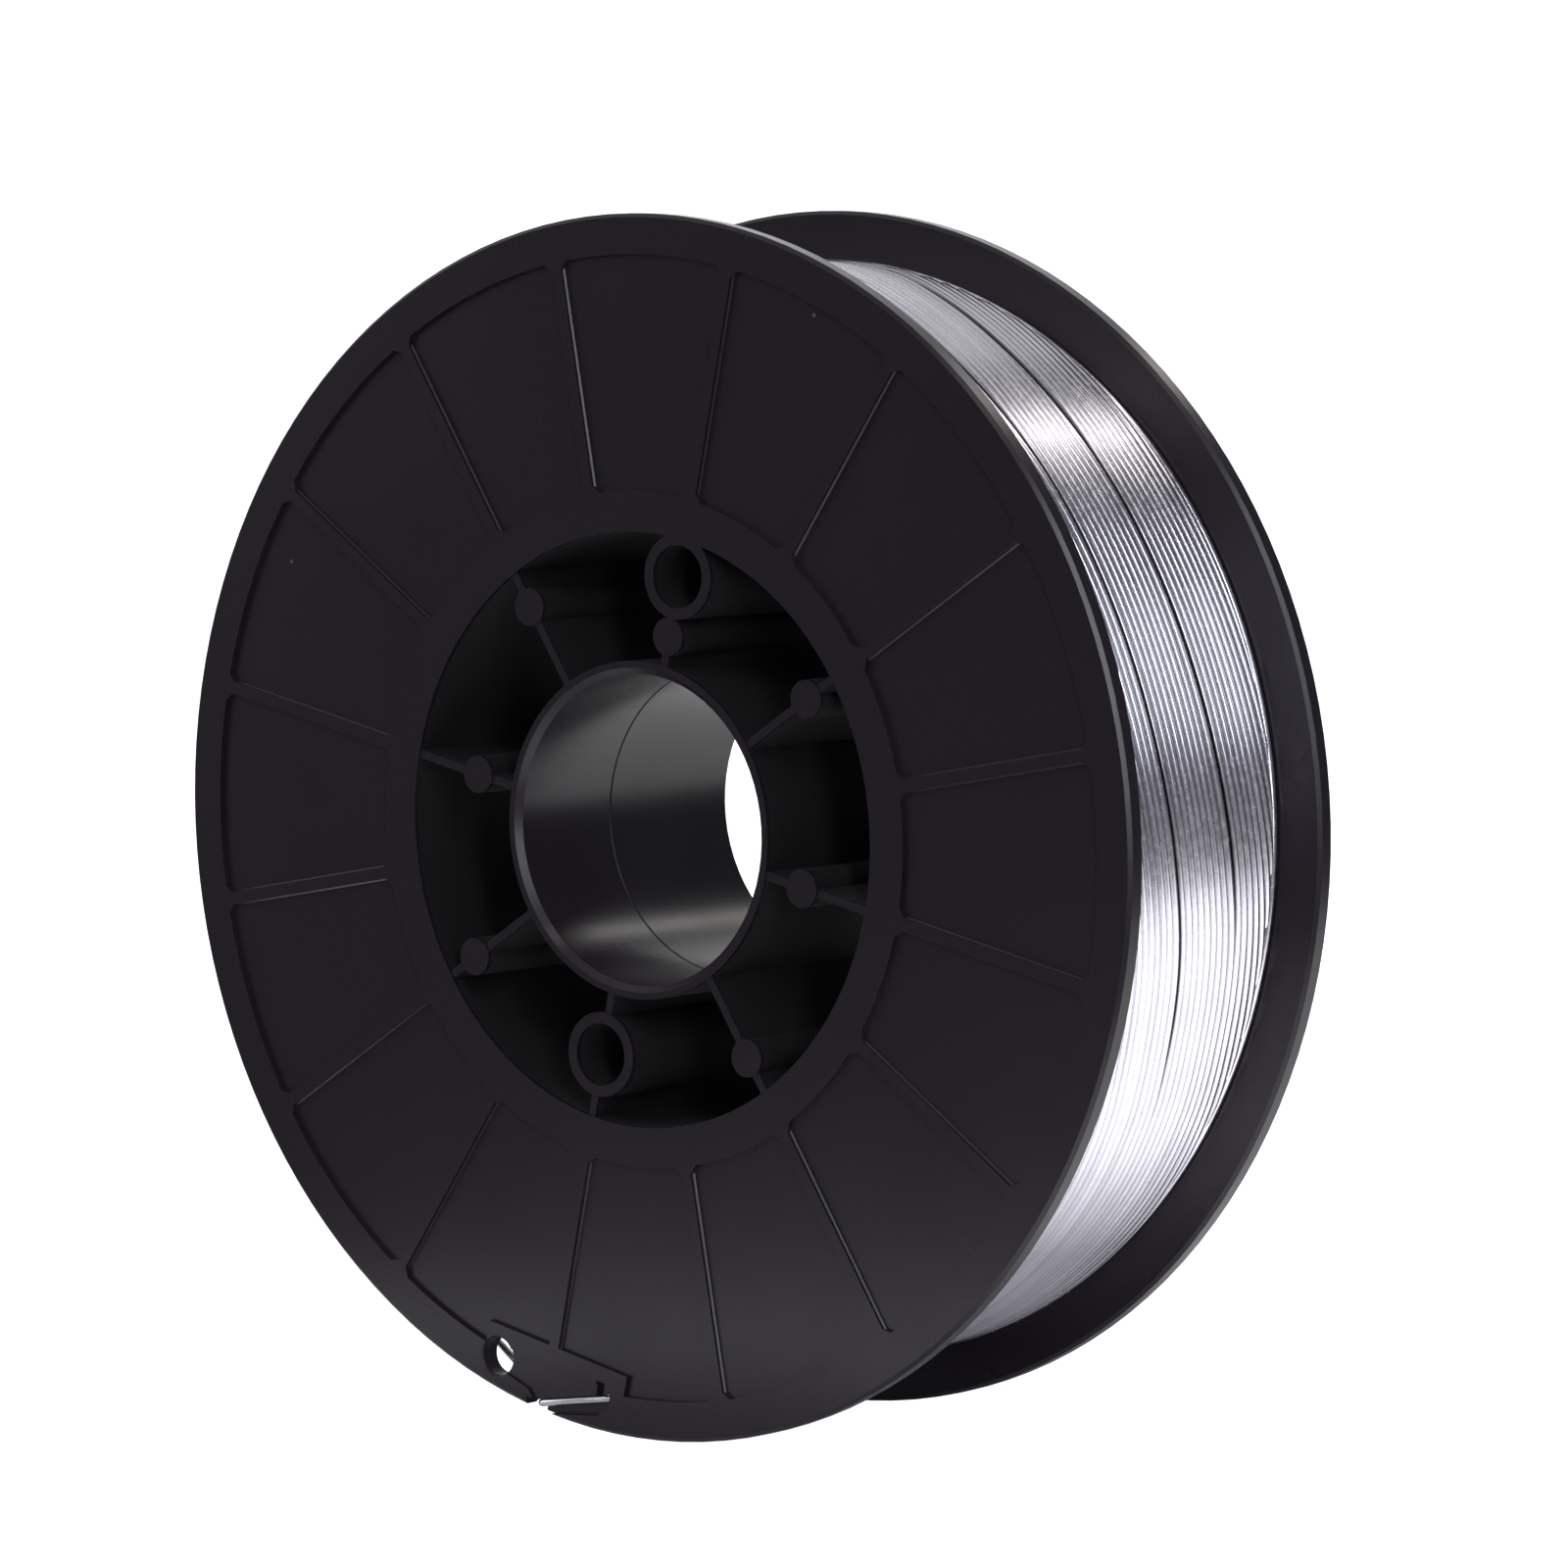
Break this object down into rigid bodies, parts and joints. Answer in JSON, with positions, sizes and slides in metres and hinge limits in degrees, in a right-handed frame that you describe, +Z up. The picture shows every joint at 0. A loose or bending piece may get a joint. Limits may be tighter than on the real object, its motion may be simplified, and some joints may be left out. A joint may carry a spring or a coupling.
{
  "type": "mig welding wire spool",
  "caption": "Flanged moulded spool with a spoked hub and a spindle bore, wound full of bright solid welding wire whose end is tucked into a clip in the rim.",
  "frame": {"origin": "on the floor under the middle of the standing spool", "axes": "+Z up, -Y out of the front flange along the spindle axis; the line through the two drive holes leans 11.8 degrees from upright towards +X, as in the picture"},
  "size_m": [0.2, 0.054, 0.2],
  "materials": {
    "spool_plastic": "matte black moulded plastic, faint violet cast",
    "wire_steel": "bright drawn wire, cool silver"
  },
  "bodies": {
    "root": {"front_half": "spool_plastic", "rear_half": "spool_plastic", "wire_winding": "wire_steel"}
  },
  "joints": []
}
